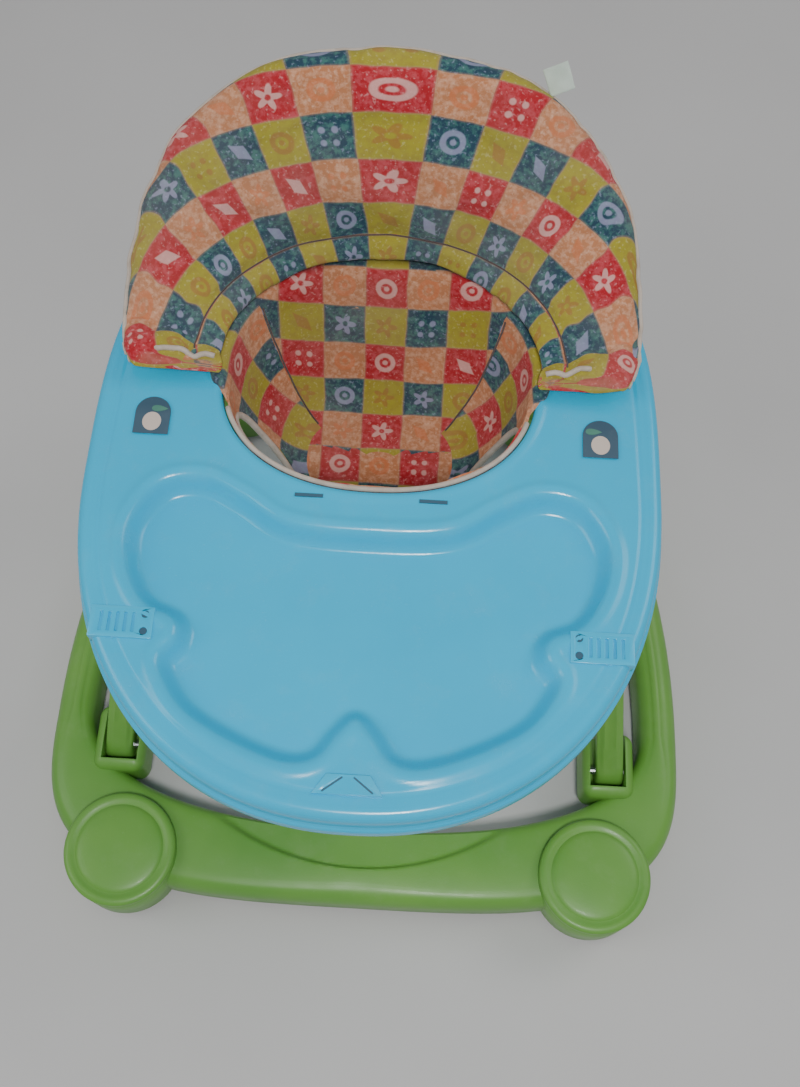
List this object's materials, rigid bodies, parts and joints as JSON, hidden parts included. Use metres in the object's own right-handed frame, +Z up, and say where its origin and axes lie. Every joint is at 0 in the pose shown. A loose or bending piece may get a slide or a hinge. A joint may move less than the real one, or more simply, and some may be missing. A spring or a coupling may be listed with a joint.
{
  "type": "baby walker",
  "caption": "Folding baby walker: moulded ring base on wheels, scissor legs, a tray with a cloud-shaped snack recess, and a padded wrap-around seat with a fabric sling.",
  "frame": {"origin": "on the floor, under the centre of the outline", "axes": "+Z up, -Y the front with the snack tray, +X the child's left"},
  "size_m": [0.6734, 0.7212, 0.561],
  "materials": {
    "green_plastic": "satin moulded plastic with fine grain",
    "blue_plastic": "glossy moulded plastic",
    "grey_plastic": "matt moulded plastic",
    "steel": "plated steel",
    "rubber": "matt rubber",
    "patchwork": "printed woven patchwork of red, peach, lime and navy squares",
    "sticker": "printed vinyl",
    "label": "woven ribbon"
  },
  "bodies": {
    "base": {"base_ring": "green_plastic", "front_wheel_cap_left": "green_plastic", "front_wheel_cap_right": "green_plastic", "rear_wheel_cap_left": "green_plastic", "rear_wheel_cap_right": "green_plastic", "rear_axle_left": "steel", "rear_axle_right": "steel", "grip_pad_front_left": "rubber", "grip_pad_front_right": "rubber", "grip_pad_side_left": "rubber", "grip_pad_side_right": "rubber", "grip_pad_rear": "rubber", "foot_pin_left": "steel", "foot_pin_right": "steel", "slide_guide_left": "green_plastic", "slide_guide_right": "green_plastic"},
    "caster_left": {"caster_stem_left": "steel", "caster_fork_left": "grey_plastic", "caster_axle_left": "steel"},
    "caster_right": {"caster_stem_right": "steel", "caster_fork_right": "grey_plastic", "caster_axle_right": "steel"},
    "front_wheel_left": {"caster_wheel_left": "rubber"},
    "front_wheel_right": {"caster_wheel_right": "rubber"},
    "rear_wheel_left": {"rear_wheel_left": "rubber"},
    "rear_wheel_right": {"rear_wheel_right": "rubber"},
    "outer_legs": {"outer_leg_left": "green_plastic", "outer_leg_right": "green_plastic", "crossing_pin_left": "steel", "crossing_pin_right": "steel", "crossing_spacer_left": "grey_plastic", "crossing_spacer_right": "grey_plastic", "tray_slide_pin_left": "steel", "tray_slide_pin_right": "steel"},
    "inner_legs": {"inner_leg_left": "green_plastic", "inner_leg_right": "green_plastic", "base_slide_pin_left": "steel", "base_slide_pin_right": "steel"},
    "tray": {"tray_top": "blue_plastic", "tray_underframe": "blue_plastic", "slot_plate_left": "blue_plastic", "slot_plate_right": "blue_plastic", "pivot_bracket_left": "blue_plastic", "pivot_bracket_right": "blue_plastic", "tray_pivot_pin_left": "steel", "tray_pivot_pin_right": "steel", "toy_socket_left": "blue_plastic", "toy_socket_right": "blue_plastic", "seat_clip_left": "blue_plastic", "seat_clip_right": "blue_plastic", "sticker_left": "sticker", "sticker_right": "sticker", "latch_plate": "blue_plastic", "seat_back_shell": "blue_plastic", "seat_back_pad": "patchwork", "seat_sling": "patchwork", "care_label": "label", "handle_guide": "blue_plastic", "handle_spring": "steel"},
    "release_handle": {"release_handle": "green_plastic"}
  },
  "joints": [
    {"name": "fold", "type": "hinge", "parent": "base", "child": "outer_legs", "pos_m": [0, -0.191, 0.052], "axis": [1, 0, 0], "range_deg": [-41.8, 13.2]},
    {"name": "crossing", "type": "hinge", "parent": "outer_legs", "child": "inner_legs", "pos_m": [0, -0.0777, 0.187], "axis": [1, 0, 0], "range_deg": [-26.8, 84]},
    {"name": "tray_level", "type": "hinge", "parent": "inner_legs", "child": "tray", "pos_m": [0, -0.191, 0.322], "axis": [1, 0, 0], "range_deg": [-42, 13.4]},
    {"name": "caster_swivel_left", "type": "hinge", "parent": "base", "child": "caster_left", "pos_m": [-0.243, -0.304, 0.05], "axis": [0, 0, 1], "continuous": true},
    {"name": "front_wheel_roll_left", "type": "hinge", "parent": "caster_left", "child": "front_wheel_left", "pos_m": [-0.243, -0.286, 0.0225], "axis": [1, 0, 0], "continuous": true},
    {"name": "rear_wheel_roll_left", "type": "hinge", "parent": "base", "child": "rear_wheel_left", "pos_m": [-0.176, 0.256, 0.0225], "axis": [1, 0, 0], "continuous": true},
    {"name": "caster_swivel_right", "type": "hinge", "parent": "base", "child": "caster_right", "pos_m": [0.243, -0.304, 0.05], "axis": [0, 0, 1], "continuous": true},
    {"name": "front_wheel_roll_right", "type": "hinge", "parent": "caster_right", "child": "front_wheel_right", "pos_m": [0.243, -0.286, 0.0225], "axis": [1, 0, 0], "continuous": true},
    {"name": "rear_wheel_roll_right", "type": "hinge", "parent": "base", "child": "rear_wheel_right", "pos_m": [0.176, 0.256, 0.0225], "axis": [1, 0, 0], "continuous": true},
    {"name": "height_release", "type": "slide", "parent": "tray", "child": "release_handle", "axis": [0, -1, 0], "range_m": [0, 0.01], "stiffness_N_per_m": 300, "springref_m": -0.004}
  ],
  "couplings": [
    {"joint": "crossing", "follows": "fold", "ratio": -2},
    {"joint": "tray_level", "follows": "fold", "ratio": 1}
  ]
}
